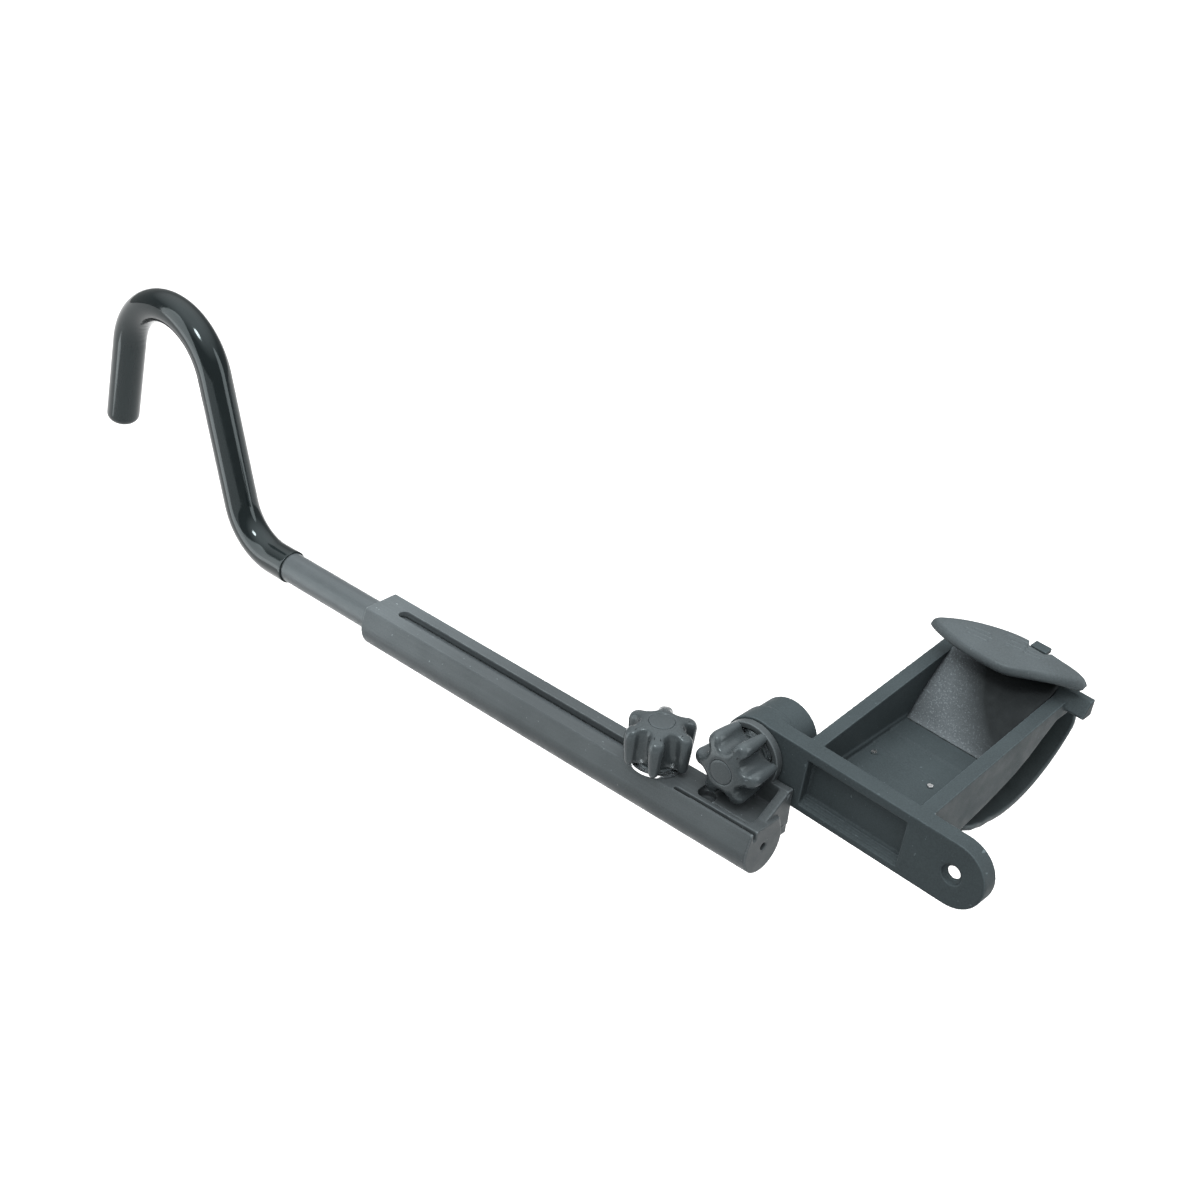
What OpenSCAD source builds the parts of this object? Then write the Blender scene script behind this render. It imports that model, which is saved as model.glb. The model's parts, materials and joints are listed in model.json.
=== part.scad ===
// Strap-on cradle with a pivoting slotted arm and a telescoping hook rod.
// Units mm, +Z up. The origin is the middle of the tube passage in the cradle.
// X runs along the arm from the hook to the cradle, Y is the pivot axis.
// Below, sizes are laid out from the clamp knob axis at the flat top of the
// arm, and in_frame() moves every piece to the origin.

/* [Arm] */
// Hook end of the arm
arm_start = -171.5; // [-220:0.5:-120]
// Nose end of the arm
arm_end = 59; // [57:0.5:70]
// Width of the flat top
arm_top_w = 19; // [14:0.5:22]
// Radius of the round underside
arm_r = 12.3; // [11:0.1:14]
// Depth of the rod axis below the flat top
rod_depth = 10.7; // [10:0.1:12]
// Width of the clamp slot
slot_w = 5.6; // [5.6:0.1:7]
// Length the clamp stud can travel along the slot
slot_travel = 150; // [60:1:150]

/* [Hook rod] */
// Rod diameter
rod_d = 15; // [12:0.1:16]
// Radial running gap between rod and arm bore
rod_gap = 0.08; // [0.04:0.01:0.1]
// Distance from the clamp axis to the lower bend corner
bend_x = 266.6; // [240:0.5:300]
// Centreline radius of the lower bend
bend_r = 28; // [22:0.5:36]
// Lean of the rising leg away from vertical, degrees
leg_lean = 17.4; // [0:0.1:25]
// Straight length of the rising leg
leg_len = 64.5; // [40:0.5:90]
// Centreline radius of the hook
hook_r = 34.5; // [25:0.5:40]
// Angle turned by the hook, degrees
hook_turn = 152; // [120:1:170]
// Straight length of the tip leg
tip_len = 45; // [25:0.5:60]
// Outer diameter of the protective sleeve
sleeve_d = 16.8; // [15.8:0.1:18]
// Where the sleeve stops on the straight rod
sleeve_x = 234.5; // [200:0.5:244]

/* [Knobs] */
// Diameter over the knob lobes
knob_d = 33; // [28:0.5:34]
// Length of the knob lobes
knob_h = 18; // [12:0.1:20]
// Diameter of one lobe
lobe_d = 6.8; // [6:0.1:9]
// Diameter of the bright washer
washer_d = 23.6; // [18:0.1:26]

/* [Pivot] */
// Pivot axis position along the arm
pivot_x = 35.2; // [30:0.1:40]
// Pivot axis height above the flat top
pivot_z = 16; // [14:0.1:20]
// Pivot bolt diameter
bolt_d = 6; // [5:0.5:8]
// Front face of the pivot knob
pivot_knob_y = -3.6; // [-4:0.1:2]
// Tilt of the cradle about the pivot, degrees
cradle_tilt = 3.4; // [-60:0.1:60]

/* [Cradle] */
// Front face of the cradle bar
bar_y = 19.1; // [19:0.1:24]
// Rear face of the cradle bar
bar_back = 27.5; // [25:0.1:32]
// Height of the cradle bar
bar_h = 30.6; // [24:0.5:36]
// Pivot axis to far hole distance
bar_len = 99.5; // [80:0.5:120]
// End face of the pivot barrel
barrel_y = 43.4; // [38:0.1:50]
// Diameter of the pivot barrel
barrel_d = 29.8; // [24:0.1:32]
// Inner face of the left beam
win_left = 27; // [24:0.5:32]
// Inner face of the right beam
win_right = 75.5; // [65:0.5:80]
// Front face of the rear crossbar
rear_y = 120; // [110:0.5:130]

/* [Strap] */
// Strap thickness
strap_t = 3; // [2:0.1:4]
// Left edge of the strap
strap_left = 19.5; // [16:0.5:24]
// Right edge of the strap
strap_right = 82; // [76:0.5:86]

/* [Hidden] */
$fn = 64;
eps = 0.01;
rod_r = rod_d / 2;
bore_r = rod_r + rod_gap;
rod_z = -rod_depth;
sleeve_r = sleeve_d / 2;
sleeve_fit = 0.02;
rod_end = 9;
slot_left = -slot_travel - 5.2;
slot_right = 3.2;
stud_r = 2.5;
stud_gap = 0.06;
bolt_r = bolt_d / 2;
bolt_gap = 0.06;
gap = 0.35;
top_half = arm_top_w / 2;
// point on the round underside where the flat flank starts
flank_reach = sqrt(top_half * top_half + rod_depth * rod_depth);
flank_a = atan2(rod_depth, top_half) - acos(arm_r / flank_reach);
flank_y = (arm_r - 0.03) * cos(flank_a);
flank_z = rod_z + (arm_r - 0.03) * sin(flank_a);
// bend and hook, measured along the rod path
rise_a = 90 - leg_lean;
bend_t = bend_r * tan(rise_a / 2);
tip_edge = 4;
bend_lap = 1;
bend_skin = 0.03;
tube_r = rod_r - 1.5;
plug_len = 24;
// knob stack
collar_h = 1.8;
collar_r = 9.4;
valley_r = 9.8;
neck_w = lobe_d - 0.4;
cap_r = 5.6;
cap_h = 0.9;
insert_r = 4.6;
washer_t = 1.3;
pivot_washer_t = 1;
clamp_base = gap + washer_t;
pivot_base = pivot_knob_y + knob_h + collar_h;
// lug
lug_front = pivot_base - 1.2;
lug_back = bar_y - gap;
lug_seat = pivot_base + pivot_washer_t + gap;
lug_r = 15;
lug_right = 57;
pocket_y = pivot_knob_y - 0.6;
// bar
bar_half = bar_h / 2;
boss_r = 15.8;
boss_back = 31;
pocket_depth = 5;
eye_r = 3;
eye_web = 1.6;
rivets_x = [32, 61];
rivet_y = 62;
// cradle side profile
beam_left = 20.5;
beam_right = 82;
beam_rise = 9.6;
crossbar_d = 12;
cross_back = rear_y + crossbar_d;
cross_top = 28.7;
cross_low = 17;
cross_rake = [[rear_y + 3.2, 22.3], [rear_y + 8.2, cross_top]];
pad_start = 93;
floor_z = -1;
floor_low = -4.2;
// strap arcs: belly first, then the wrap over the crossbar
belly_y = 96.6;
belly_z = 33.4;
belly_r = 54.8;
belly_from = 255;
belly_to = 332;
wrap_r = 18.5;
wrap_to = 462;
wrap_y = belly_y + (belly_r - wrap_r) * cos(belly_to);
wrap_z = belly_z + (belly_r - wrap_r) * sin(belly_to);
button_y = rear_y + 8.6;
neck_left = 34;
neck_right = 78;

// middle of the tube passage, first in the cradle's own frame
tube_along = (win_left + win_right) / 2;
tube_drop = -9;
tube_x = pivot_x + tube_along * cos(cradle_tilt) + tube_drop * sin(cradle_tilt);
tube_y = 88;
tube_z = pivot_z - tube_along * sin(cradle_tilt) + tube_drop * cos(cradle_tilt);

// ---------- helpers ----------
// cylinder along +X starting at x
module xcyl(x, len, r) { translate([x, 0, 0]) rotate([0, 90, 0]) cylinder(h = len, r = r); }

// cylinder along +Y starting at y
module ycyl(y, len, r, sides = 64) {
    translate([0, y, 0]) rotate([-90, 0, 0]) cylinder(h = len, r = r, $fn = sides);
}

// block between two corners
module block(a, b) { translate(a) cube([b[0] - a[0], b[1] - a[1], b[2] - a[2]]); }

// side profile in Y, Z carried along X
module side_plate(x0, x1, pts) {
    translate([x0, 0, 0]) rotate([90, 0, 90]) linear_extrude(height = x1 - x0) polygon(pts);
}

// moves a piece from the clamp axis layout to the part's origin
module in_frame() { translate([-tube_x, -tube_y, -tube_z]) children(); }

// frame of the cradle: pivot axis at the origin, tilted with the cradle
module at_cradle() { translate([pivot_x, 0, pivot_z]) rotate([0, cradle_tilt, 0]) children(); }

// frame of the pivot knob: its axis along +Y from the knob front face
module at_pivot_knob() { translate([pivot_x, pivot_base, pivot_z]) rotate([90, 0, 0]) children(); }

// ---------- arm ----------
module arm_shell() {
    difference() {
        translate([0, 0, rod_z]) xcyl(arm_start, arm_end - arm_start, arm_r);
        block([arm_start - 1, -arm_r, -eps], [arm_end + 1, arm_r, arm_r]);
    }
    side_plate(arm_start, arm_end,
        [[-top_half, 0], [top_half, 0], [flank_y, flank_z], [0, rod_z - 4], [-flank_y, flank_z]]);
}

module arm_lug() {
    // eye round the pivot
    translate([pivot_x, 0, pivot_z]) ycyl(lug_front, lug_back - lug_front, lug_r);
    // plate from the eye down to the arm
    block([pivot_x - lug_r, lug_front, -9], [pivot_x + lug_r - 2, lug_back, pivot_z]);
    // side wall carrying the plate
    block([22, 6, -14], [lug_right, lug_back, -1.5]);
    // end wall that closes the pocket, sloping up to the lug
    side_plate(lug_right - 4, lug_right + 0.5,
        [[-3, -6], [-3, 0], [1, 0], [lug_front + 1, 9], [lug_back, 9], [lug_back, -8]]);
    block([pivot_x + 4, lug_front, -9], [lug_right + 0.5, lug_back, 9]);
}

module arm_body() {
    color([0.26, 0.28, 0.28]) in_frame() difference() {
        union() {
            arm_shell();
            arm_lug();
        }
        // rod bore and the slot above it
        translate([0, 0, rod_z]) xcyl(arm_start - 1, rod_end + 6 - arm_start + 1, bore_r);
        block([slot_left, -slot_w / 2, rod_z], [slot_right, slot_w / 2, 1]);
        translate([slot_left, 0, rod_z]) cylinder(h = 20, r = slot_w / 2);
        translate([slot_right, 0, rod_z]) cylinder(h = 20, r = slot_w / 2);
        // shallow pocket under the pivot knob, with a deep gutter along its front
        block([28, pocket_y, -1.8], [lug_right - 4, lug_front, 3]);
        block([24, pocket_y + 4, -1.8], [32, lug_front, 3]);
        translate([28, pocket_y + 4, -5]) cylinder(h = 8, r = 4);
        block([28, pocket_y, -5], [lug_right - 5.2, pocket_y + 2.4, 3]);
        translate([lug_right - 5.2, pocket_y + 1.2, -5]) cylinder(h = 8, r = 1.2);
        // narrow groove beside the pocket, open at the nose
        translate([16, -8.5, -4.2]) rotate([0, 0, 0.6]) cube([arm_end - 14, 1.9, 6]);
        // pivot bore, washer seat and small nose hole
        translate([pivot_x, 0, pivot_z]) ycyl(lug_front - 1, 8, bolt_r + bolt_gap);
        translate([pivot_x, 0, pivot_z]) ycyl(lug_front - 1, lug_seat - lug_front + 1, 12.2);
        translate([0, 0, -10.4]) xcyl(arm_end - 6, 8, 1.8);
    }
}

// ---------- hook rod ----------
// solid of radius r along the bent path, from x_from on the straight to the tip;
// each straight runs a little way into a bend that is a hair thicker
module rod_path(r, x_from, tip) {
    translate([0, 0, rod_z]) {
        xcyl(-bend_x + bend_t - bend_lap, bend_x - bend_t + x_from + bend_lap, r);
        translate([-bend_x + bend_t, 0, bend_r]) rotate([90, 0, 0]) rotate([0, 0, -90 - rise_a])
            rotate_extrude(angle = rise_a) translate([bend_r, 0]) circle(r + bend_skin);
        translate([-bend_x, 0, 0]) rotate([0, -leg_lean, 0]) {
            translate([0, 0, bend_t - bend_lap]) cylinder(h = leg_len + 2 * bend_lap, r = r);
            translate([-hook_r, 0, bend_t + leg_len]) {
                rotate([90, 0, 0]) rotate_extrude(angle = hook_turn)
                    translate([hook_r, 0]) circle(r + bend_skin);
                rotate([0, -hook_turn, 0]) translate([hook_r, 0, -bend_lap])
                    cylinder(h = tip + bend_lap, r = r);
            }
        }
    }
}

// places children at the end of the tip leg, +Z along the tip
module at_tip() {
    translate([-bend_x, 0, rod_z]) rotate([0, -leg_lean, 0])
        translate([-hook_r, 0, bend_t + leg_len]) rotate([0, -hook_turn, 0])
            translate([hook_r, 0, tip_len]) children();
}

module hook_rod() {
    color([0.24, 0.26, 0.27]) in_frame() difference() {
        rod_path(rod_r, rod_end, tip_len);
        rod_path(tube_r, rod_end + 1, tip_len + 1);
        cylinder(h = 20, r = stud_r + 0.4, center = true);
    }
}

module hook_sleeve() {
    color([0.10, 0.11, 0.11]) in_frame() difference() {
        union() {
            rod_path(sleeve_r, -sleeve_x, tip_len);
            at_tip() {
                cylinder(h = tip_edge, r = sleeve_r - tip_edge);
                rotate_extrude() translate([sleeve_r - tip_edge, 0]) circle(tip_edge);
            }
        }
        rod_path(rod_r + sleeve_fit, -sleeve_x + 5, tip_len + sleeve_fit);
    }
}

// ---------- clamp knob stack ----------
// six lobed grip: base at 0, collar first, lobes above it
module star_grip() {
    difference() {
        union() {
            cylinder(h = collar_h + 1, r = collar_r);
            translate([0, 0, collar_h]) intersection() {
                union() {
                    cylinder(h = knob_h, r = valley_r);
                    for (k = [0:5]) rotate([0, 0, 60 * k]) {
                        translate([knob_d / 2 - lobe_d / 2, 0, 0]) cylinder(h = knob_h, r = lobe_d / 2);
                        translate([0, -neck_w / 2, 0]) cube([knob_d / 2 - lobe_d / 2, neck_w, knob_h]);
                    }
                }
                // the lobes fall away towards their tips
                rotate_extrude() polygon([[0, -1], [knob_d / 2 + 1, -1], [knob_d / 2 + 1, knob_h - 3.2],
                    [8, knob_h + eps], [0, knob_h + eps]]);
            }
        }
        translate([0, 0, -1]) cylinder(h = collar_h + 12, r = insert_r);
        translate([0, 0, collar_h + knob_h - 1.6]) cylinder(h = 4, r = cap_r);
    }
}

module threaded_insert(screw_r) {
    difference() {
        cylinder(h = 12, r = insert_r);
        translate([0, 0, -1]) cylinder(h = 20, r = screw_r);
    }
}

module grip_cap() { translate([0, 0, collar_h + knob_h - 1.6]) cylinder(h = 1.6 + cap_h, r = cap_r); }

module rod_plug() {
    color([0.55, 0.50, 0.36]) in_frame() difference() {
        translate([0, 0, rod_z]) xcyl(rod_end - 1 - plug_len, plug_len, tube_r);
        translate([0, 0, rod_z - 5]) cylinder(h = 20, r = stud_r + stud_gap);
    }
}

module clamp_stud() {
    color([0.62, 0.63, 0.64]) in_frame() translate([0, 0, rod_z - 4.5])
        cylinder(h = clamp_base + 11.5 - rod_z + 4.5, r = stud_r);
}

module clamp_washer() {
    color([0.80, 0.81, 0.82]) in_frame() translate([0, 0, gap]) difference() {
        cylinder(h = washer_t, r = washer_d / 2);
        translate([0, 0, -1]) cylinder(h = 4, r = stud_r + stud_gap);
    }
}

module clamp_knob() {
    color([0.22, 0.24, 0.24]) in_frame() translate([0, 0, clamp_base]) rotate([0, 0, 2]) star_grip();
}

module clamp_knob_insert() {
    color([0.60, 0.55, 0.38]) in_frame() translate([0, 0, clamp_base]) threaded_insert(stud_r);
}

module clamp_knob_cap() {
    color([0.24, 0.26, 0.26]) in_frame() translate([0, 0, clamp_base]) grip_cap();
}

// ---------- pivot stack ----------
module pivot_bolt() {
    color([0.62, 0.63, 0.64]) in_frame() translate([pivot_x, 0, pivot_z])
        ycyl(pivot_base - 11.5, barrel_y - 1 - pivot_base + 11.5, bolt_r);
}

module pivot_washer() {
    color([0.75, 0.76, 0.77]) in_frame() translate([pivot_x, 0, pivot_z]) difference() {
        ycyl(pivot_base, pivot_washer_t, 11);
        ycyl(pivot_base - 1, 4, bolt_r + bolt_gap);
    }
}

module pivot_knob() { color([0.22, 0.24, 0.24]) in_frame() at_pivot_knob() rotate([0, 0, 3]) star_grip(); }

module pivot_knob_insert() { color([0.60, 0.55, 0.38]) in_frame() at_pivot_knob() threaded_insert(bolt_r); }

module pivot_knob_cap() { color([0.24, 0.26, 0.26]) in_frame() at_pivot_knob() grip_cap(); }

module pivot_nut() {
    color([0.66, 0.67, 0.68]) in_frame() at_cradle() difference() {
        ycyl(barrel_y - 6, 5, 5.7, 6);
        ycyl(barrel_y - 8, 9, bolt_r + bolt_gap);
    }
}

// ---------- cradle ----------
function beam_top(y) = bar_half + beam_rise * (y - bar_back) / (rear_y + 4 - bar_back);

module cradle_bar() {
    difference() {
        union() {
            block([0, bar_y, -bar_half], [bar_len, bar_back, bar_half]);
            translate([bar_len, 0, 0]) ycyl(bar_y, bar_back - bar_y, bar_half);
            ycyl(bar_y, boss_back - bar_y, boss_r);
            ycyl(bar_y, barrel_y - bar_y, barrel_d / 2);
        }
        // recess in the front face, with a stepped lower flange
        block([26, bar_y - 1, -9.2], [win_right, bar_y + pocket_depth, 10.8]);
        block([26, bar_y - 1, -10.6], [win_right, bar_y + 3, 0]);
        block([26, bar_y - 1, -12], [win_right, bar_y + 1.4, 0]);
        // pivot bore and nut seat
        ycyl(bar_y - 1, 30, bolt_r + bolt_gap);
        ycyl(barrel_y - 6.02, 8, 5.72, 6);
        // far eye: shallow front recess, thin web with the hole, wide pocket behind
        translate([bar_len, 0, 0]) {
            ycyl(bar_y - 1, 20, eye_r);
            ycyl(bar_y - 1, eye_web + 1, 4.7);
            ycyl(bar_y + 2 * eye_web, 20, 9.6);
        }
    }
}

// gusset beam; low is how much deeper its middle reaches
module cradle_beam(x0, x1, low) {
    side_plate(x0, x1, [[bar_back - 1, bar_half - 0.1], [rear_y + 4.6, beam_top(rear_y + 4.6)],
        [rear_y + 8, cross_top - 0.2], [rear_y + 9, cross_low + 1], [rear_y + 1, cross_low],
        [112, 11.6 - low / 2], [103, 5.4 - low], [94, 1 - low], [84, -2.2 - low], [75, -4.8],
        [65, -7.2], [52, -9.5], [bar_back - 1, -11]]);
}

module cradle_frame() {
    color([0.27, 0.29, 0.29]) in_frame() at_cradle() difference() {
        union() {
            cradle_bar();
            cradle_beam(beam_left, win_left, 3);
            cradle_beam(win_right, beam_right, 0);
            // stepped floor between the beams
            block([win_left - 1, bar_back - 1, floor_low], [win_right + 1, 67, floor_z - 1.2]);
            block([win_left - 1, 67 - eps, floor_low], [win_right + 1, 80, floor_z - 0.6]);
            block([win_left - 1, 80 - eps, floor_low], [win_right + 1, pad_start, floor_z]);
            // thin ledges on the inside of the beams
            block([win_left - 1, bar_back - 1, floor_low], [win_left + 0.7, pad_start, 0.6]);
            block([win_right - 0.7, bar_back - 1, floor_low], [win_right + 1, pad_start, 0.6]);
            // front strap anchor under the floor
            block([win_left - 1, bar_back - 1, -11], [win_right + 1, rivet_y + 4, floor_low + 1]);
            // rear crossbar with the end block past the right beam
            side_plate(beam_left, beam_right, concat([[rear_y, cross_low], [rear_y, 20.4]], cross_rake,
                [[cross_back, cross_top], [cross_back, 19], [cross_back - 2, cross_low]]));
            side_plate(beam_right - 1, 91.5, concat([[rear_y + 5, 20.5]], cross_rake,
                [[cross_back - 0.5, cross_top], [cross_back - 0.5, 20.5]]));
        }
        // rivet holes
        for (x = rivets_x) translate([x, rivet_y, -14]) cylinder(h = 16, r = 1.2);
    }
}

// ---------- strap ----------
// points along an arc in the Y, Z plane
function arc(cy, cz, r, a0, a1) =
    [for (k = [0:18]) let (a = a0 + (a1 - a0) * k / 18) [cy + r * cos(a), cz + r * sin(a)]];

module saddle_pad() {
    color([0.30, 0.32, 0.32]) in_frame() at_cradle()
        side_plate(win_left + eps, win_right - eps,
            [[pad_start + eps, floor_low], [pad_start + eps, floor_z + 0.6],
            [97.5, 4.2], [102, 9.6], [107, 15], [112.5, 20.2], [117, 23.6], [122, 26.8], [126, 28.9],
            [rear_y + 8.1, 29.4], [rear_y + 8.1, cross_top + 0.03], [rear_y + 3.1, 22.33],
            [rear_y - eps, 20.43], [rear_y - eps, 19.6], [114, 15.6], [108.5, 10.6], [103.5, 5],
            [99, -0.6], [96, floor_low]]);
}

module strap() {
    color([0.20, 0.22, 0.22]) in_frame() at_cradle() difference() {
        union() {
            side_plate(strap_left, strap_right, concat(
                [[54, -11.8], [62, -13.4], [70, -16], [76, -18]],
                arc(belly_y, belly_z, belly_r, belly_from, belly_to),
                arc(belly_y, belly_z, belly_r - strap_t, belly_to, belly_from),
                [[76, -14.9], [70, -12.9], [62, -10.4], [54, -9.4]]));
            side_plate(neck_left, neck_right, concat(
                arc(wrap_y, wrap_z, wrap_r - 0.2, belly_to - 4, wrap_to),
                arc(wrap_y, wrap_z, wrap_r + 0.2 - strap_t, wrap_to, belly_to - 4)));
            block([strap_left + 8, 34, -11 - strap_t], [strap_right - 7, 62, -10.99]);
        }
        // seat under the front anchor, and the rivet holes
        block([win_left - 1.1, 20, -10.99], [win_right + 1.1, rivet_y + 4.1, 0]);
        for (x = rivets_x) translate([x, rivet_y, -18]) cylinder(h = 10, r = 1.2);
        // slot for the button
        block([58.2, button_y - 0.5, 20], [64.4, button_y + 3.5, 40]);
    }
}

// pull tab with a notch in its rear edge for the button
module strap_tab() {
    color([0.23, 0.25, 0.25]) in_frame() at_cradle() difference() {
        hull() {
            for (p = [[20.2, 112.6, 35.3, 2.9], [38, 108.6, 35, 2.8], [58, 108, 36, 2.8],
                      [77, 119.5, 36.6, 2.8], [83.6, 126.4, 34, 3.2], [28, 120, 37.2, 2.4],
                      [50, 127, 38.4, 2.6], [76.5, 128, 36.2, 2.8]])
                translate([p[0], p[1], p[2]]) sphere(r = p[3], $fn = 24);
        }
        block([57, button_y - 0.6, 25], [65.6, button_y + 12, 50]);
    }
}

module strap_button() {
    color([0.24, 0.26, 0.26]) in_frame() at_cradle() {
        block([58.8, button_y, cross_top], [63.8, button_y + 3, 37]);
        block([57.3, button_y - 0.2, 37 - eps], [65.3, button_y + 5.2, 39.5]);
    }
}

module strap_rivets() {
    color([0.70, 0.71, 0.72]) in_frame() at_cradle() for (x = rivets_x) translate([x, rivet_y, 0]) {
        translate([0, 0, -14.6]) cylinder(h = 12.6, r = 1.18);
        translate([0, 0, -15.1]) cylinder(h = 1.4, r = 3.2);
        translate([0, 0, floor_z - 1.2 + eps]) cylinder(h = 0.5, r = 1.3);
    }
}

arm_body();
hook_rod();
hook_sleeve();
rod_plug();
clamp_stud();
clamp_washer();
clamp_knob();
clamp_knob_insert();
clamp_knob_cap();
pivot_bolt();
pivot_washer();
pivot_knob();
pivot_knob_insert();
pivot_knob_cap();
pivot_nut();
cradle_frame();
saddle_pad();
strap();
strap_tab();
strap_button();
strap_rivets();
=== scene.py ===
"""Strap-on tube cradle with a pivoting slotted arm and a telescoping hook rod."""
import json
import math
import bmesh
import bpy
from mathutils import Matrix, Vector


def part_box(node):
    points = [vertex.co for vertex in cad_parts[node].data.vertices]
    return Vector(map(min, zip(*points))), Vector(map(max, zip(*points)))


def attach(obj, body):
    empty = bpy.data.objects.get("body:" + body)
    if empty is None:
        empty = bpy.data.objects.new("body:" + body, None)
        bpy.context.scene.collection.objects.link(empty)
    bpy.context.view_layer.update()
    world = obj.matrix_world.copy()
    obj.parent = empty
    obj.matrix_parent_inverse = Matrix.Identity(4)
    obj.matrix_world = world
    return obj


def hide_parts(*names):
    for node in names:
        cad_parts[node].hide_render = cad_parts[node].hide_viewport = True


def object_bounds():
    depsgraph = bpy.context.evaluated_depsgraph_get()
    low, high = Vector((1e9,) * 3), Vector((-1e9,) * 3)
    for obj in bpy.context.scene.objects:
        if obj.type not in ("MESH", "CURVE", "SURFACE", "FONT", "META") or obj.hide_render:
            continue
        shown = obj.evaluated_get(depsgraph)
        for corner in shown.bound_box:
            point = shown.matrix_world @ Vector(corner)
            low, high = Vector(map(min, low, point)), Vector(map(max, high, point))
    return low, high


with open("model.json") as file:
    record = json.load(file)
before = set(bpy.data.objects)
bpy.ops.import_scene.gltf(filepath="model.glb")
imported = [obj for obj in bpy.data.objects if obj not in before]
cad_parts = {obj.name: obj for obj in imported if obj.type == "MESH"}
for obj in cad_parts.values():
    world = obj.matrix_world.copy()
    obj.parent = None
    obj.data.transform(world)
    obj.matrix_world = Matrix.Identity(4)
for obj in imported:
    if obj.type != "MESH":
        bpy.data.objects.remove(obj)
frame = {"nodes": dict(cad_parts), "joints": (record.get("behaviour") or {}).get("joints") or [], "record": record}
cad_low, cad_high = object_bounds()

MM = 0.001
SCENE = bpy.context.scene


# ---------- places taken from the frame ----------
def joint(name):
    return next(j for j in frame["joints"] if j["name"] == name)


def mount(name):
    return next(m for m in frame["record"]["mounts"] if m["name"] == name)


PIVOT = Vector(joint("arm_pivot")["pos_m"])
CLAMP = Vector(joint("clamp_knob_turn")["pos_m"])
TUBE_AXIS = Vector(mount("tube_cradle")["axis"])
TILT = math.atan2(-TUBE_AXIS.z, TUBE_AXIS.x)
RUNNING_GAP = 0.35 * MM
ARM_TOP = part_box("clamp_washer")[0].z - RUNNING_GAP
ROD_Z = (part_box("rod_plug")[0].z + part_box("rod_plug")[1].z) / 2

# arm coordinates: clamp axis, flat top of the arm; cradle coordinates: pivot axis, tilted
ARM = Matrix.Translation((CLAMP.x, CLAMP.y, ARM_TOP))
CRADLE = Matrix.Translation((PIVOT.x, CLAMP.y, PIVOT.z)) @ Matrix.Rotation(TILT, 4, "Y")


# ---------- shares and curves ----------
def ramp(value, start, stop):
    """Share of the way from start to stop, held at 0 and 1 beyond them."""
    return min(1.0, max(0.0, (value - start) / (stop - start)))


def ease(value, start, stop):
    """A ramp with soft ends."""
    share = ramp(value, start, stop)
    return share * share * (3 - 2 * share)


def rounded(distance, radius):
    """Height share of a rounded edge at a distance in from it."""
    return math.sqrt(max(0.0, 1 - (1 - min(distance, radius) / radius) ** 2))


def through(points, share):
    """Smooth curve through the points, by share of their count."""
    spot = share * (len(points) - 1)
    k = min(int(spot), len(points) - 2)
    t = spot - k
    p = [Vector(points[min(max(k + d, 0), len(points) - 1)]) for d in (-1, 0, 1, 2)]
    return 0.5 * (2 * p[1] + (p[2] - p[0]) * t + (2 * p[0] - 5 * p[1] + 4 * p[2] - p[3]) * t * t
                  + (3 * p[1] - p[0] - 3 * p[2] + p[3]) * t ** 3)


def arc(cy, cz, radius, start, end, steps):
    """Points along an arc in the Y, Z plane."""
    return [Vector((cy + radius * math.cos(start + (end - start) * k / steps),
                    cz + radius * math.sin(start + (end - start) * k / steps))) for k in range(steps + 1)]


# ---------- materials ----------
COOL_TINT = (0.84, 0.97, 1.0, 1.0)
BUMP_DEPTH = 0.1 * MM
# draw marks run along X
DRAW_STRETCH = (14.0, 700.0, 700.0)
# pointiness over which an edge gets its painted highlight
EDGE_FROM, EDGE_TO = 0.52, 0.58
# how many times as bright as the colour itself each mark is; the edge tone is a painted highlight, the last a
# painted shade
DRAW_TONE, GRAIN_TONE, SPECK_TONE, EDGE_TONE, PAINTED_SHADE_TONE = 1.5, 1.7, 3.5, 3.0, 0.12


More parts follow.
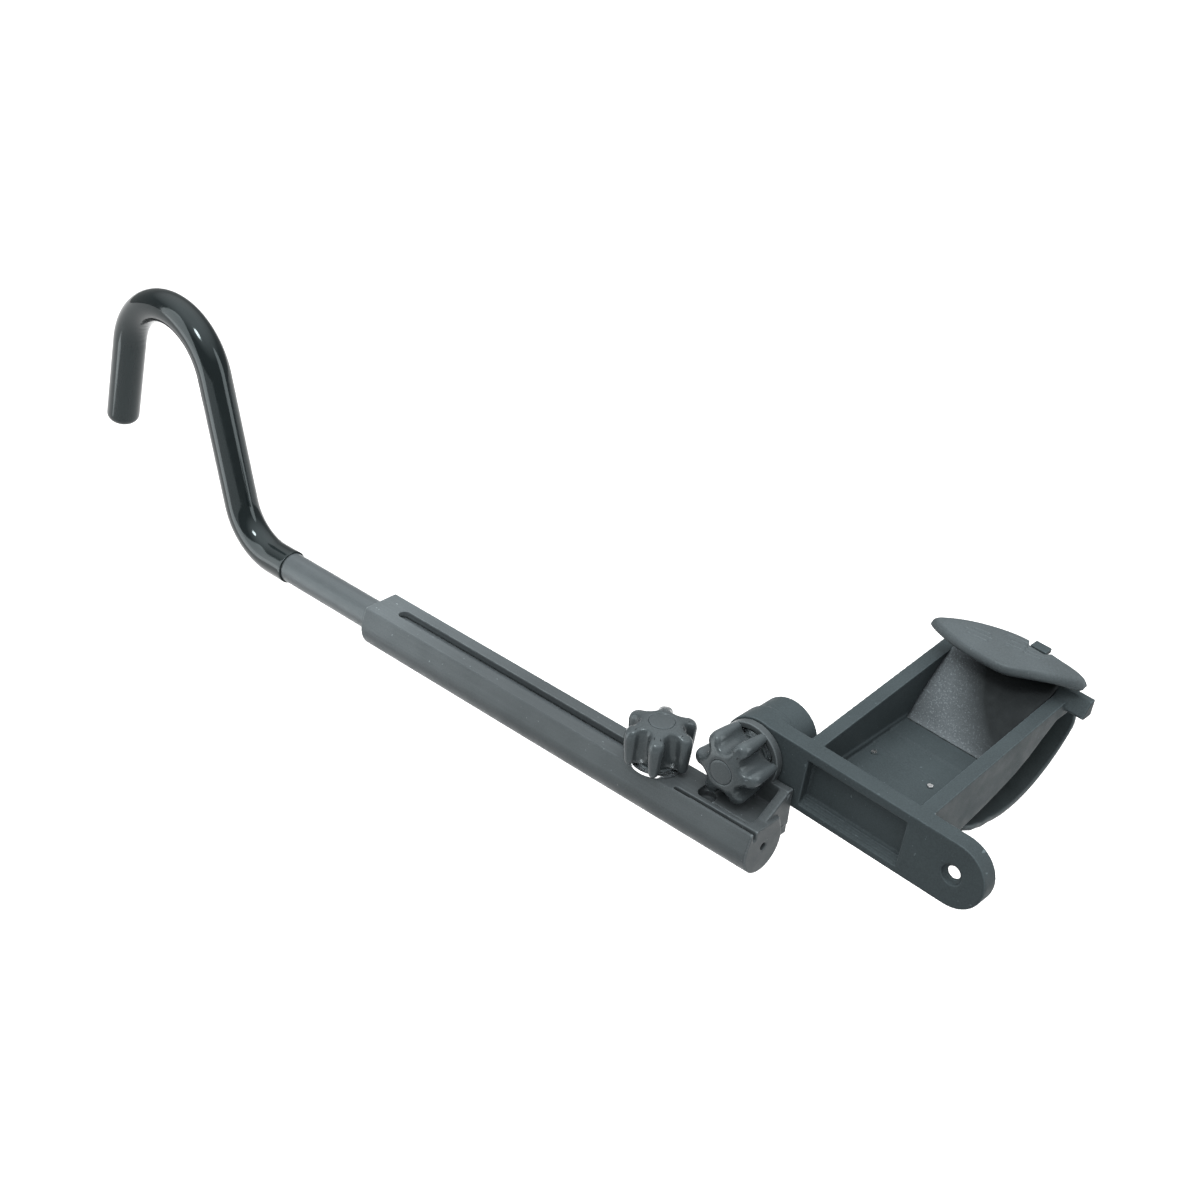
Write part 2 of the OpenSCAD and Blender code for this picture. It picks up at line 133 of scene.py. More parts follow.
def shade(name, colour, rough, metallic=0.0, specular=0.5, tone=0.15, tone_scale=60.0, grain=0.0,
          grain_scale=2500.0, rough_spread=0.08, edge_highlight=0.0, streak=0.0, specks=0.0, speck_scale=620.0,
          speck_from=0.76, painted_shade=None):
    """Procedural finish: cloudy tone, uneven roughness, grain, draw marks, specks, painted shade and painted
    highlights on edges.
    """
    made = bpy.data.materials.new(name)
    made.use_nodes = True
    tree = made.node_tree
    shader = tree.nodes["Principled BSDF"]
    shader.inputs["Metallic"].default_value = metallic
    shader.inputs["Specular IOR Level"].default_value = specular
    if not metallic:
        shader.inputs["Specular Tint"].default_value = COOL_TINT
    place = tree.nodes.new("ShaderNodeTexCoord").outputs["Object"]

    def noise(scale, detail, vector=place):
        node = tree.nodes.new("ShaderNodeTexNoise")
        node.inputs["Scale"].default_value = scale
        node.inputs["Detail"].default_value = detail
        tree.links.new(vector, node.inputs["Vector"])
        return node.outputs["Fac"]

    def spread(value, low, high, start=0.3, stop=0.7):
        node = tree.nodes.new("ShaderNodeMapRange")
        node.inputs["From Min"].default_value = start
        node.inputs["From Max"].default_value = stop
        node.inputs["To Min"].default_value = low
        node.inputs["To Max"].default_value = high
        tree.links.new(value, node.inputs["Value"])
        return node.outputs["Result"]

    def mix(share, first, second):
        node = tree.nodes.new("ShaderNodeMix")
        node.data_type = "RGBA"
        for socket, value in (("A", first), ("B", second)):
            target = next(s for s in node.inputs if s.name == socket and s.type == "RGBA")
            if isinstance(value, tuple):
                target.default_value = (*value, 1)
            else:
                tree.links.new(value, target)
        tree.links.new(share, next(s for s in node.inputs if s.name == "Factor" and s.type == "VALUE"))
        return next(s for s in node.outputs if s.type == "RGBA")

    def math_node(operation, first, second):
        node = tree.nodes.new("ShaderNodeMath")
        node.operation = operation
        for socket, value in enumerate((first, second)):
            if isinstance(value, float):
                node.inputs[socket].default_value = value
            else:
                tree.links.new(value, node.inputs[socket])
        return node.outputs["Value"]

    def slope(along, offset):
        dot = tree.nodes.new("ShaderNodeVectorMath")
        dot.operation = "DOT_PRODUCT"
        dot.inputs[1].default_value = along
        tree.links.new(place, dot.inputs[0])
        return math_node("ADD", dot.outputs["Value"], offset)

    def times(amount):
        return tuple(min(1.0, c * amount) for c in colour)

    paint = mix(spread(noise(tone_scale, 5.0), 0.0, 1.0), times(1 - tone), times(1 + tone))
    if streak:
        stretch = tree.nodes.new("ShaderNodeMapping")
        stretch.inputs["Scale"].default_value = DRAW_STRETCH
        tree.links.new(place, stretch.inputs["Vector"])
        marks = spread(noise(1.0, 3.0, stretch.outputs["Vector"]), 0.0, streak, 0.45, 0.75)
        paint = mix(marks, paint, times(DRAW_TONE))
    if grain:
        paint = mix(spread(noise(grain_scale, 2.0), 0.0, 0.35), paint, times(GRAIN_TONE))
    if specks:
        dots = spread(noise(speck_scale, 1.0), 0.0, specks, speck_from, speck_from + 0.04)
        paint = mix(dots, paint, times(SPECK_TONE))
    # painted shade: darker along the product of the given slopes
    if painted_shade:
        slopes, start, stop, share = painted_shade
        climb = slope(*slopes[0])
        for further in slopes[1:]:
            climb = math_node("MULTIPLY", climb, slope(*further))
        paint = mix(spread(climb, 0.0, share, start, stop), paint, times(PAINTED_SHADE_TONE))
    # painted highlight: edges lightened where the mesh is pointed, as if they caught the light
    if edge_highlight:
        pointed = tree.nodes.new("ShaderNodeNewGeometry").outputs["Pointiness"]
        paint = mix(spread(pointed, 0.0, edge_highlight, EDGE_FROM, EDGE_TO), paint, times(EDGE_TONE))
    tree.links.new(paint, shader.inputs["Base Color"])
    tree.links.new(spread(noise(tone_scale * 4, 3.0), rough - rough_spread, rough + rough_spread),
                   shader.inputs["Roughness"])
    if grain:
        bump = tree.nodes.new("ShaderNodeBump")
        bump.inputs["Strength"].default_value = grain
        bump.inputs["Distance"].default_value = BUMP_DEPTH
        tree.links.new(noise(grain_scale, 3.0), bump.inputs["Height"])
        tree.links.new(bump.outputs["Normal"], shader.inputs["Normal"])
    return made


# Painted shade, darkening by the product of its slopes: ((direction, offset), ...), start, stop, full share.
# The pad stays pale at its lower left and is painted darker away from it, as painted shadow of the tab;
# the arm is paler at the hook end and painted darker away from it, as painted shade.
PAD_PAINTED_SHADE = (((1.0, 0.0, 0.0), 0.024), ((0.0, 1.0, 0.0), 0.008)), 0.0003, 0.0008, 1.0
ARM_PAINTED_SHADE = (((1.0, 0.0, 0.0), 0.3),), 0.05, 0.14, 0.45
RECIPES = {
    "arm_plastic": dict(colour=(0.088, 0.102, 0.108), rough=0.44, specular=0.15, tone=0.12, tone_scale=25,
                        grain=0.2, grain_scale=2200, edge_highlight=0.6, streak=0.35, specks=0.8, painted_shade=ARM_PAINTED_SHADE),
    "cradle_plastic": dict(colour=(0.040, 0.051, 0.055), rough=0.50, specular=0.06, tone=0.14, tone_scale=35,
                           grain=0.3, grain_scale=1500, edge_highlight=0.8, specks=0.5),
    "knob_plastic": dict(colour=(0.046, 0.055, 0.059), rough=0.22, specular=0.22, tone=0.06,
                         rough_spread=0.03, grain=0.03, grain_scale=1800, edge_highlight=0.5),
    "rod_paint": dict(colour=(0.060, 0.070, 0.075), rough=0.38, specular=0.4, tone=0.08, grain=0.12,
                      grain_scale=3000, streak=0.2),
    "sleeve_black": dict(colour=(0.007, 0.011, 0.012), rough=0.10, specular=0.33, tone=0.1,
                         rough_spread=0.04),
    "strap_rubber": dict(colour=(0.056, 0.067, 0.072), rough=0.52, specular=0.25, tone=0.2, tone_scale=45,
                         grain=0.35, grain_scale=1400, edge_highlight=0.6, specks=0.4),
    # the strap's rubber painted darker for the belly strap, as painted shade
    "strap_rubber_painted_shade": dict(colour=(0.024, 0.031, 0.033), rough=0.50, specular=0.2, tone=0.2, tone_scale=45,
                         grain=0.3, grain_scale=1400, edge_highlight=1.0),
    "pad_rubber": dict(colour=(0.090, 0.104, 0.112), rough=0.60, specular=0.15, tone=0.15, grain=1.0,
                       grain_scale=1150, specks=0.3, speck_scale=1500.0, speck_from=0.60, painted_shade=PAD_PAINTED_SHADE),
    "bright_steel": dict(colour=(0.80, 0.81, 0.82), rough=0.25, metallic=1.0, tone=0.06),
    "insert_brass": dict(colour=(0.62, 0.48, 0.24), rough=0.32, metallic=1.0, tone=0.08),
    "plug_brass": dict(colour=(0.60, 0.47, 0.24), rough=0.35, metallic=1.0, tone=0.08),
}
FINISHES = {name: shade(name, **recipe) for name, recipe in RECIPES.items()}


def dress(piece, finish):
    piece.data.materials.clear()
    piece.data.materials.append(FINISHES[finish])


for subpart in frame["record"]["subparts"]:
    dress(frame["nodes"][subpart["node"]], subpart["material_slot"])


# ---------- pieces ----------
def enter(piece, body, node, finish):
    """Shades a piece smooth, dresses it, puts it on its body and hides the node it stands for."""
    for p in piece.data.polygons:
        p.use_smooth = True
    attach(piece, body)
    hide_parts(node)
    dress(piece, finish)


def new_piece(name, bm, body, slot, node, place, finish=None):
    """Turns a bmesh in millimetres into a piece; its finish is its slot's unless one is named."""
    for v in bm.verts:
        v.co = place @ (v.co * MM)
    bmesh.ops.recalc_face_normals(bm, faces=bm.faces)
    mesh = bpy.data.meshes.new(name)
    bm.to_mesh(mesh)
    bm.free()
    piece = bpy.data.objects.new(name, mesh)
    SCENE.collection.objects.link(piece)
    enter(piece, body, node, finish or slot)


def bridge_rings(bm, rings):
    """Quads between closed rings of the same count."""
    for a, b in zip(rings, rings[1:]):
        count = len(a)
        for k in range(count):
            bm.faces.new((a[k], a[(k + 1) % count], b[(k + 1) % count], b[k]))


def bridge_skin(bm, grid, side, across, along):
    """Quads over one side of a two-sided grid of vertices."""
    for i in range(across):
        for j in range(along):
            bm.faces.new((grid[side, i, j], grid[side, i + 1, j],
                          grid[side, i + 1, j + 1], grid[side, i, j + 1]))


# ---------- star knobs ----------
LOBES = 6
TIP_R = 16.5
LOBE_R = 3.4
VALLEY_R = 9.8
ARC_STEPS = 11
LATHE_STEPS = 48
COLLAR_R = 9.4
KNOB_TOP = 19.8
HUB_R = 5.6
WELL_R = HUB_R + 0.7
# the lobes' tops fall away towards their tips
FALL_FROM = 6.5
FALL = 2.9
# (inset, height) up the side of the grip, then (inset, depth below its top) over the shoulder
SIDE = ((2.2, 0.5), (1.7, 0.8), (1.35, 1.4), (1.1, 2.2), (0.75, 5.0), (0.35, 9.0), (0.12, 12.5))
SHOULDER = ((0.05, 2.8), (0.2, 1.9), (0.45, 1.1), (0.85, 0.5), (1.4, 0.14), (2.2, 0.0))


def star_outline(inset):
    """Six round lobes joined by round valleys, moved inwards by inset."""
    reach = TIP_R - LOBE_R
    half = math.pi / LOBES
    # valley circle that touches both neighbouring lobes and the valley radius
    fillet = ((reach ** 2 + VALLEY_R ** 2 - 2 * reach * VALLEY_R * math.cos(half) - LOBE_R ** 2)
              / (2 * LOBE_R - 2 * VALLEY_R + 2 * reach * math.cos(half)))
    far = VALLEY_R + fillet
    turn = math.atan2(far * math.sin(half), far * math.cos(half) - reach)
    arcs = [(reach, 0.0, LOBE_R - inset, -turn, turn),
            (far * math.cos(half), far * math.sin(half), fillet + inset,
             turn - math.pi, 2 * half - turn - math.pi)]
    points = []
    for k in range(LOBES):
        spin = Matrix.Rotation(2 * half * k, 2)
        for cx, cy, radius, start, end in arcs:
            for s in range(ARC_STEPS):
                a = start + (end - start) * (s + 0.5) / ARC_STEPS
                points.append(spin @ Vector((cx + radius * math.cos(a), cy + radius * math.sin(a))))
    return points


def grip_top(r, drop=0.0):
    """Height of the grip's top at a distance from its axis, less drop."""
    return KNOB_TOP - drop - FALL * ramp(r, FALL_FROM, TIP_R) ** 1.5


def lathe(bm, profile):
    """Closed turned shape from (radius, height) pairs; it starts and ends on the axis."""
    turns = [2 * math.pi * k / LATHE_STEPS for k in range(LATHE_STEPS)]
    rings = [[bm.verts.new((radius * math.cos(a), radius * math.sin(a), height)) for a in turns]
             for radius, height in profile[1:-1]]
    bridge_rings(bm, rings)
    for end, ring in ((profile[0], rings[0]), (profile[-1], rings[-1])):
        tip = bm.verts.new((0, 0, end[1]))
        for k in range(LATHE_STEPS):
            bm.faces.new((tip, ring[k], ring[(k + 1) % LATHE_STEPS]))


def make_grip(bm):
    """Star grip with a round well in its top, over a round collar."""
    rings = []

    def add_ring(outline, height):
        rings.append([bm.verts.new((p.x, p.y, height(p.length))) for p in outline])

    for inset, rise in SIDE:
        add_ring(star_outline(inset), lambda r: rise)
    for inset, drop in SHOULDER:
        add_ring(star_outline(inset), lambda r: grip_top(r, drop))
    top = star_outline(SHOULDER[-1][0])
    for share in (0.3, 0.6, 0.85, 1.0):
        add_ring([p.lerp(p.normalized() * WELL_R, share) for p in top], grip_top)
    circle = [p.normalized() for p in star_outline(0)]
    add_ring([c * (HUB_R + 0.12) for c in circle], lambda r: KNOB_TOP - 0.1)
    add_ring([c * HUB_R for c in circle], lambda r: KNOB_TOP - 0.5)
    bridge_rings(bm, rings)
    for ring in (rings[0], rings[-1]):
        bm.faces.new(ring)
    lathe(bm, [(0, 0), (COLLAR_R - 0.3, 0), (COLLAR_R - 0.05, 0.1), (COLLAR_R, 0.3), (COLLAR_R, 0.8),
               (COLLAR_R - 0.08, 1.0), (COLLAR_R - 0.3, 1.1), (COLLAR_R - 0.6, 1.12), (6.0, 1.12), (0, 1.12)])


def make_hub(bm):
    """Round plate in the grip's well, a little domed."""
    lathe(bm, [(0, KNOB_TOP - 1.3), (HUB_R - 0.05, KNOB_TOP - 1.3), (HUB_R - 0.05, KNOB_TOP - 0.12),
               (HUB_R - 0.15, KNOB_TOP + 0.02), (HUB_R - 0.45, KNOB_TOP + 0.1),
               (HUB_R - 1.2, KNOB_TOP + 0.16), (2.0, KNOB_TOP + 0.22), (0, KNOB_TOP + 0.23)])


def make_knob(prefix, body, place):
    """Both pieces of a knob."""
    for make, name, node in ((make_grip, "_star_grip", "_knob"), (make_hub, "_hub_plate", "_knob_cap")):
        bm = bmesh.new()
        make(bm)
        new_piece(prefix + name, bm, body, "knob_plastic", prefix + node, place)


CLAMP_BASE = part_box("clamp_knob")[0].z
PIVOT_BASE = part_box("pivot_knob")[1].y
CLAMP_SPIN, PIVOT_SPIN = math.radians(2), math.radians(3)
make_knob("clamp", "clamp_grip",
          Matrix.Translation((CLAMP.x, CLAMP.y, CLAMP_BASE)) @ Matrix.Rotation(CLAMP_SPIN, 4, "Z"))
make_knob("pivot", "pivot_grip",
          Matrix.Translation((PIVOT.x, PIVOT_BASE, PIVOT.z)) @ Matrix.Rotation(math.radians(90), 4, "X")
          @ Matrix.Rotation(PIVOT_SPIN, 4, "Z"))

# ---------- rod sleeve ----------
# the rod's centreline: a bend up into the leg, the leg, the hook and the straight tip
BEND_X = 266.6
BEND_R = 28.0
LEG_LEAN = math.radians(17.4)
LEG_LEN = 64.5
HOOK_R = 34.5
HOOK_TURN = math.radians(152)
TIP_LEN = 45.0
ROD_R = 7.5
ROD_DEPTH = (ARM_TOP - ROD_Z) / MM
# the sleeve over it: where it starts, its radius, the ripples inside the hook and the tip's rounding
SLEEVE_X = 234.5
SLEEVE_R = 8.37
RIPPLE = 0.16
RIPPLE_PACE = 1.1
TIP_ROUND = 4.0
TIP_RINGS = 8
RING_STEP = 1.6
RING_SIDES = 56


def hook_path():
    """Points, headings and curvatures along the rod's centreline, from the sleeve's edge to the tip."""
    rise = math.pi / 2 - LEG_LEAN
    tangent = BEND_R * math.tan(rise / 2)
    stretches = [(BEND_X - tangent - SLEEVE_X, 0.0), (BEND_R * rise, 1 / BEND_R), (LEG_LEN, 0.0),
                 (HOOK_R * HOOK_TURN, -1 / HOOK_R), (TIP_LEN, 0.0)]
    at, heading, path = Vector((-SLEEVE_X, -ROD_DEPTH)), math.pi, []
    for length, curve in stretches:
        count = max(2, round(length / RING_STEP))
        for _ in range(count):
            path.append((at.copy(), heading, curve))
            piece = length / count
            middle = heading - curve * piece / 2
            at += Vector((math.cos(middle), math.sin(middle))) * piece
            heading -= curve * piece
    path.append((at.copy(), heading, 0.0))
    return path


def tube_ring(bm, at, heading, radius, swell=0.0):
    """Ring across the path; swell lifts the side on the inside of the hook."""
    up = Vector((-math.sin(heading), math.cos(heading)))
    ring = []
    for k in range(RING_SIDES):
        a = 2 * math.pi * k / RING_SIDES
        out = radius + swell * max(0.0, math.cos(a)) ** 6
        ring.append(bm.verts.new((at.x + up.x * out * math.cos(a), out * math.sin(a),
                                  at.y + up.y * out * math.cos(a))))
    return ring


def make_sleeve():
    """Thick glossy sleeve with a rolled edge, faint ripples inside the hook and a round closed tip."""
    path = hook_path()
    bm = bmesh.new()
    rings = []
    first, heading, _ = path[0]
    along = Vector((math.cos(heading), math.sin(heading)))
    for ahead, radius in ((3.0, ROD_R + 0.05), (0.25, ROD_R + 0.05), (0.0, ROD_R + 0.22),
                          (0.0, SLEEVE_R - 0.3), (0.12, SLEEVE_R - 0.08), (0.4, SLEEVE_R)):
        rings.append(tube_ring(bm, first + along * ahead, heading, radius))
    for number, (at, heading, curve) in enumerate(path[1:], 1):
        ripple = RIPPLE * math.sin(number * RIPPLE_PACE) ** 8 if curve < 0 else 0.0
        rings.append(tube_ring(bm, at, heading, SLEEVE_R, ripple))
    last, heading, _ = path[-1]
    along = Vector((math.cos(heading), math.sin(heading)))
    for k in range(1, TIP_RINGS + 1):
        a = math.pi / 2 * k / TIP_RINGS
        rings.append(tube_ring(bm, last + along * TIP_ROUND * math.sin(a), heading,
                               SLEEVE_R - TIP_ROUND + TIP_ROUND * math.cos(a)))
    bridge_rings(bm, rings)
    bm.faces.new(rings[-1])
    bm.faces.new(rings[0])
    new_piece("sleeve_skin", bm, "rod", "sleeve_black", "hook_sleeve", ARM)


make_sleeve()

# ---------- strap ----------
STRAP_T = 3.0
STRAP_CORNER = 1.1
CORNER_STEPS = 4
STRAP_LEFT, STRAP_RIGHT = 19.5, 82.0
NECK_LEFT, NECK_RIGHT = 34.0, 78.0
BELLY_Y, BELLY_Z, BELLY_R = 96.6, 33.4, 54.8
BELLY_FROM, BELLY_TO = math.radians(252), math.radians(332)
WRAP_R, WRAP_TO = 18.5, math.radians(462)
# the strap's arcs lie this far inside those radii
INSIDE = STRAP_T / 2 + 0.25
# under the floor, from the anchor to the belly
LEAD = ((34, -12.5), (42, -12.5), (50, -12.52), (56, -12.7), (62, -13.1), (67, -14.0), (72, -15.4),
        (76, -16.9))
# under the floor the strap is narrower on the left and right, and reaches its full width at FULL_Y
FULL_Y, WIDEN_LEN = 64, 6
WIDEN_LEFT, WIDEN_RIGHT = 8, 7
# rings over which it narrows to its neck, behind the crossbar
NECK_FROM, NECK_TO = 44, 52


def strap_line():
    """Middle of the strap in the cradle's Y, Z plane, from the anchor to the neck's end."""
    reach = BELLY_R - WRAP_R
    wrap_y = BELLY_Y + reach * math.cos(BELLY_TO)
    wrap_z = BELLY_Z + reach * math.sin(BELLY_TO)
    belly = arc(BELLY_Y, BELLY_Z, BELLY_R - INSIDE, BELLY_FROM, BELLY_TO, 40)
    wrap = arc(wrap_y, wrap_z, WRAP_R - INSIDE, BELLY_TO, WRAP_TO, 36)
    return [Vector(p) for p in LEAD] + belly[1:] + wrap[1:]


def slab_ring(bm, at, normal, left, right):
    """Rounded rectangle across the strap."""
    ring = []
    half = STRAP_T / 2
    corners = [(right - STRAP_CORNER, half - STRAP_CORNER), (left + STRAP_CORNER, half - STRAP_CORNER),
               (left + STRAP_CORNER, STRAP_CORNER - half), (right - STRAP_CORNER, STRAP_CORNER - half)]
    for quarter, (x, n) in enumerate(corners):
        for s in range(CORNER_STEPS + 1):
            a = math.pi / 2 * (quarter + s / CORNER_STEPS)
            px, pn = x + STRAP_CORNER * math.cos(a), n + STRAP_CORNER * math.sin(a)
            ring.append(bm.verts.new((px, at.x + normal.x * pn, at.y + normal.y * pn)))
    return ring


def make_strap():
    """Belly strap that narrows to a neck over the crossbar."""
    line = strap_line()
    bm = bmesh.new()
    rings = []
    for k, at in enumerate(line):
        ahead, behind = line[min(k + 1, len(line) - 1)], line[max(k - 1, 0)]
        along = (ahead - behind).normalized()
        neck = ease(k, NECK_FROM, NECK_TO)
        slim = 1 - ramp(at.x, FULL_Y - WIDEN_LEN, FULL_Y)
        left = STRAP_LEFT + (NECK_LEFT - STRAP_LEFT) * neck + WIDEN_LEFT * slim
        right = STRAP_RIGHT + (NECK_RIGHT - STRAP_RIGHT) * neck - WIDEN_RIGHT * slim
        rings.append(slab_ring(bm, at, Vector((-along.y, along.x)), left, right))
    bridge_rings(bm, rings)
    bm.faces.new(rings[0])
    bm.faces.new(rings[-1])
    # the belly strap wears the strap's rubber painted darker, as painted shade
    new_piece("belly_strap", bm, "cradle", "strap_rubber", "strap", CRADLE, "strap_rubber_painted_shade")


make_strap()

# ---------- pull tab ----------
TAB_FRONT = ((17.8, 111.4, 35.4), (27, 108.6, 35.0), (38, 106.4, 35.0), (50, 105.6, 35.4), (59, 106.4, 35.9),
             (68, 111.6, 36.3), (76, 116.8, 36.3), (83, 122.2, 35.2), (86.8, 126.2, 33.4))
TAB_BACK = ((17.8, 114.2, 35.8), (25, 119.8, 37.2), (34, 124.6, 38.2), (44, 128.0, 38.7), (53, 130.2, 38.3),
            (62, 130.8, 37.3), (71, 130.4, 36.6), (80, 130.0, 35.9), (86.8, 129.2, 34.2))
TAB_STEPS = 220, 90
TAB_ABOVE, TAB_BELOW = 2.3, 2.8
# notch for the button in the back edge
BUTTON_X = 61.3
NOTCH_DEEP, NOTCH_HALF = 3.4, 5.4
# lip along the front edge, domed middle and uneven lie
LIP = 0.3
CROWN = 0.9
SLACK = 0.35
# raised marks: from and to across, place front to back
MARKS = ((0.22, 0.34, 0.40), (0.20, 0.36, 0.52), (0.24, 0.34, 0.64),
         (0.42, 0.66, 0.58), (0.44, 0.70, 0.70), (0.40, 0.62, 0.82))
MARK_LIFT, MARK_HALF = 0.45, 0.75
MARK_END = 0.012


def marks_lift(u, v, deep):
    """How far the raised marks stand out at a point of the tab."""
    lift = 0.0
    for start, stop, row in MARKS:
        ridge = 1 - abs(v - row) * deep / MARK_HALF
        if ridge > 0:
            ends = ease(u, start, start + MARK_END) * (1 - ease(u, stop - MARK_END, stop))
            lift += MARK_LIFT * ease(ridge, 0, 0.6) * ends
    return lift


def tab_point(u, v, side):
    """Point of the tab: u across, v front to back, side +1 on top and -1 below."""
    front, back = through(TAB_FRONT, u), through(TAB_BACK, u)
    back.y -= NOTCH_DEEP * max(0.0, 1 - abs((back.x - BUTTON_X) / NOTCH_HALF) ** 6)
    p = front.lerp(back, v)
    deep = (back - front).length
    inward = min(p.x - TAB_FRONT[0][0], TAB_FRONT[-1][0] - p.x) + 0.02
    end = rounded(inward, 3.0)
    edge = min(v, 1 - v) * deep
    roll = ease(u, 0.55, 0.8)
    if side > 0:
        lift = TAB_ABOVE * rounded(edge, (1.0 + 2.4 * roll) if v < 0.5 else 1.8) * end
        lift += LIP * math.exp(-((v * deep - 1.5) / 0.6) ** 2) * (1 - roll) * ease(u, 0.02, 0.08)
        lift += marks_lift(u, v, deep)
    else:
        lift = -(TAB_BELOW + 1.2 * ease(u, 0.75, 0.95)) * rounded(edge, 2.8) * end
    crown = CROWN * (1 - (2 * v - 1) ** 2)
    slack = SLACK * math.sin(7 * u + 3 * v) * math.sin(math.pi * u)
    return Vector((p.x, p.y, p.z + crown + slack + lift))


def make_tab():
    """Soft pull tab; its two sides share their rim, and the mesh is finer towards it."""
    across, deep = TAB_STEPS
    bm = bmesh.new()
    grid = {}
    for side in (1, -1):
        for i in range(across + 1):
            for j in range(deep + 1):
                rim = i in (0, across) or j in (0, deep)
                if rim and side < 0:
                    grid[side, i, j] = grid[1, i, j]
                    continue
                u = 0.5 - 0.5 * math.cos(math.pi * i / across)
                v = 0.5 - 0.5 * math.cos(math.pi * j / deep)
                grid[side, i, j] = bm.verts.new(tab_point(u, v, side))
    for side in (1, -1):
        bridge_skin(bm, grid, side, across, deep)
    new_piece("pull_tab", bm, "cradle", "strap_rubber", "strap_tab", CRADLE)


make_tab()

# ---------- saddle pad ----------
PAD_LEFT, PAD_RIGHT = 26.9, 75.6
PAD_STEPS = 36, 60
PAD_THICK = 3.0
PAD_HOLLOW = 1.1
RIM_DROP, RIM_WIDE = 0.5, 0.8
# (y, z) up the ramp from its foot on the floor to the crossbar
PAD_TOP = ((93.0, -1.0), (95.0, 0.8), (97.5, 4.2), (102, 9.6), (107, 15.0), (112.5, 20.2), (117, 23.6),
           (121.5, 26.5), (125, 28.4), (128, 29.2))


def pad_point(u, v, side):
    """Point of the pad: u across, v up the ramp, side +1 on top and -1 below."""
    p = through(PAD_TOP, v)
    run = (through(PAD_TOP, min(1.0, v + 0.01)) - through(PAD_TOP, max(0.0, v - 0.01))).normalized()
    sink = PAD_THICK
    if side > 0:
        rim = min(u, 1 - u) * (PAD_RIGHT - PAD_LEFT)
        sink = PAD_HOLLOW * math.sin(math.pi * u) ** 2 * math.sin(math.pi * min(1.0, v * 1.1)) ** 2
        sink += RIM_DROP * max(0.0, 1 - rim / RIM_WIDE) ** 2
    return Vector((PAD_LEFT + (PAD_RIGHT - PAD_LEFT) * u, p.x + run.y * sink, p.y - run.x * sink))


def make_pad():
    """Grained ramp, a little hollow across, with its top edge rolled over the crossbar."""
    across, along = PAD_STEPS
    bm = bmesh.new()
    grid = {}
    for side in (1, -1):
        for i in range(across + 1):
            for j in range(along + 1):
                grid[side, i, j] = bm.verts.new(pad_point(i / across, j / along, side))
    for side in (1, -1):
        bridge_skin(bm, grid, side, across, along)
    for i in range(across):
        for j in (0, along):
            bm.faces.new((grid[1, i, j], grid[1, i + 1, j], grid[-1, i + 1, j], grid[-1, i, j]))
    for j in range(along):
        for i in (0, across):
            bm.faces.new((grid[1, i, j], grid[1, i, j + 1], grid[-1, i, j + 1], grid[-1, i, j]))
    new_piece("grip_pad", bm, "cradle", "pad_rubber", "saddle_pad", CRADLE)


make_pad()

# ---------- moulded shells ----------
SHELL_VOXEL = 0.42
SHELL_ROUNDS = 5
SHELL_KEEP = 0.35


def moulded(node, name, body, slot, place):
    """A moulded shell: the node's own shape with its edges rounded as a mould leaves them."""
    source = frame["nodes"][node]
    piece = bpy.data.objects.new(name, source.data.copy())
    SCENE.collection.objects.link(piece)
    piece.data.materials.clear()
    # remeshed square to its own faces, so that flat faces stay flat
    piece.data.transform(place.inverted() @ source.matrix_world)
    remesh = piece.modifiers.new("skin", "REMESH")
    remesh.mode = "VOXEL"
    remesh.voxel_size = SHELL_VOXEL * MM
    relax = piece.modifiers.new("edges", "SMOOTH")
    relax.factor = 0.5
    relax.iterations = SHELL_ROUNDS
    thin = piece.modifiers.new("thin", "DECIMATE")
    thin.ratio = SHELL_KEEP
    # the evaluated mesh is written back, so that no modifier is left
    graph = bpy.context.evaluated_depsgraph_get()
    made = bpy.data.meshes.new_from_object(piece.evaluated_get(graph))
    piece.modifiers.clear()
    piece.data = made
    piece.data.transform(place)
    enter(piece, body, node, slot)


moulded("arm_body", "arm_shell", "arm", "arm_plastic", ARM)
moulded("cradle_frame", "cradle_shell", "cradle", "cradle_plastic", CRADLE)
moulded("strap_button", "tab_button", "cradle", "cradle_plastic", CRADLE)

# ---------- stage ----------
# the floor lies well below the part
FLOOR_DROP = 0.60
HALF_FLOOR = 14.0
# height share over which the sky goes from its low to its high strength
SKY_FROM, SKY_TO = 0.45, 0.95
SKY_LOW, SKY_HIGH = 0.46, 2.6
# the camera's place, the way to its right and the way back towards it
CAMERA_PLACE = (0.3243, -0.6453, 0.4932)
RIGHT = Vector((0.7423, 0.6647, 0.0841))
BACK = Vector((0.5368, -0.6652, 0.519))
LENS = 60.0
SENSOR = 36.0


def make_floor():
    bm = bmesh.new()
    corners = [(-1, -1), (1, -1), (1, 1), (-1, 1)]
    bm.faces.new([bm.verts.new((x * HALF_FLOOR, y * HALF_FLOOR, -FLOOR_DROP)) for x, y in corners])
    mesh = bpy.data.meshes.new("floor")
    bm.to_mesh(mesh)
    bm.free()
    floor = bpy.data.objects.new("floor", mesh)
    SCENE.collection.objects.link(floor)
    pale = bpy.data.materials.new("floor_pale")
    pale.use_nodes = True
    shader = pale.node_tree.nodes["Principled BSDF"]
    shader.inputs["Base Color"].default_value = (0.93, 0.93, 0.93, 1)
    shader.inputs["Roughness"].default_value = 0.9
    shader.inputs["Specular IOR Level"].default_value = 0.1
    mesh.materials.append(pale)
    # it bounces no light up to the sides
    floor.visible_diffuse = False


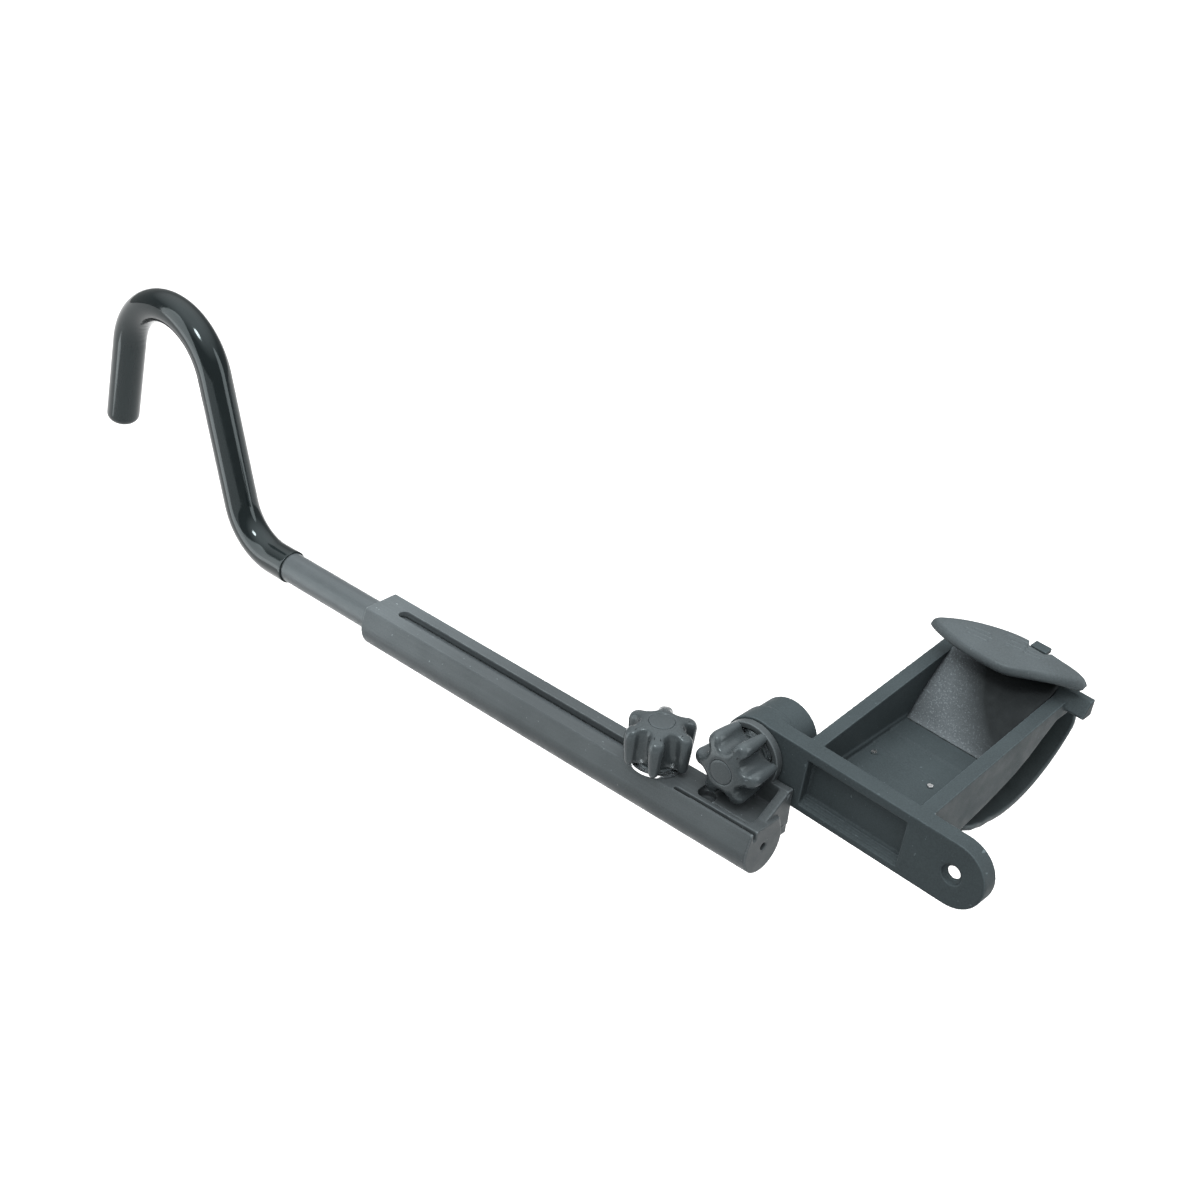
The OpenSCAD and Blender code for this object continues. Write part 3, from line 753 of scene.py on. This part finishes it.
def make_sky():
    """White surroundings, brighter overhead, like a large ceiling light."""
    world = bpy.data.worlds.new("studio")
    world.use_nodes = True
    tree = world.node_tree
    sky = tree.nodes["Background"]
    sky.inputs["Color"].default_value = (1, 1, 1, 1)
    apart = tree.nodes.new("ShaderNodeSeparateXYZ")
    tree.links.new(tree.nodes.new("ShaderNodeTexCoord").outputs["Generated"], apart.inputs[0])
    climb = tree.nodes.new("ShaderNodeMapRange")
    climb.inputs["From Min"].default_value = SKY_FROM
    climb.inputs["From Max"].default_value = SKY_TO
    climb.inputs["To Min"].default_value = SKY_LOW
    climb.inputs["To Max"].default_value = SKY_HIGH
    tree.links.new(apart.outputs["Z"], climb.inputs["Value"])
    tree.links.new(climb.outputs["Result"], sky.inputs["Strength"])
    SCENE.world = world


def place_light(lamp, place, aim, diffuse=True, glossy=True):
    """Puts a light at a place, turned towards its aim and hidden from the camera."""
    holder = bpy.data.objects.new(lamp.name, lamp)
    holder.visible_camera = False
    holder.visible_diffuse = diffuse
    holder.visible_glossy = glossy
    holder.location = place
    holder.rotation_mode = "QUATERNION"
    holder.rotation_quaternion = (Vector(aim) - Vector(place)).to_track_quat("-Z", "Y")
    SCENE.collection.objects.link(holder)


def soft_box(name, way, reach, size, power):
    """Area light that only shows in reflections, turned to face the middle of the part."""
    lamp = bpy.data.lights.new(name, "AREA")
    lamp.shape = "ELLIPSE"
    lamp.size, lamp.size_y = size
    lamp.energy = power
    centre = (cad_low + cad_high) / 2
    place_light(lamp, centre + Vector(way).normalized() * reach, centre, diffuse=False)


def make_lights():
    sun = bpy.data.lights.new("key", "SUN")
    sun.energy = 1.4
    sun.angle = math.radians(50)
    place_light(sun, (0.0, -0.25, 0.96), (0, 0, 0), glossy=False)
    soft_box("left_box", BACK * 0.31 - RIGHT * 0.95, 1.2, (0.7, 1.7), 12)
    soft_box("right_box", BACK * 0.34 + RIGHT * 0.94, 1.2, (0.55, 1.6), 9)
    soft_box("glint", (0.13, -0.55, 0.82), 1.3, (0.3, 0.3), 9)
    SCENE.view_settings.view_transform = "Standard"


def make_camera():
    lens = bpy.data.cameras.new("camera")
    lens.lens = LENS
    lens.sensor_width = SENSOR
    holder = bpy.data.objects.new("camera", lens)
    back = (BACK - RIGHT * BACK.dot(RIGHT) / RIGHT.length_squared).normalized()
    right = RIGHT.normalized()
    turn = Matrix((right, back.cross(right), back)).transposed().to_4x4()
    holder.matrix_world = Matrix.Translation(CAMERA_PLACE) @ turn
    SCENE.collection.objects.link(holder)
    SCENE.camera = holder


make_floor()
make_sky()
make_lights()
make_camera()
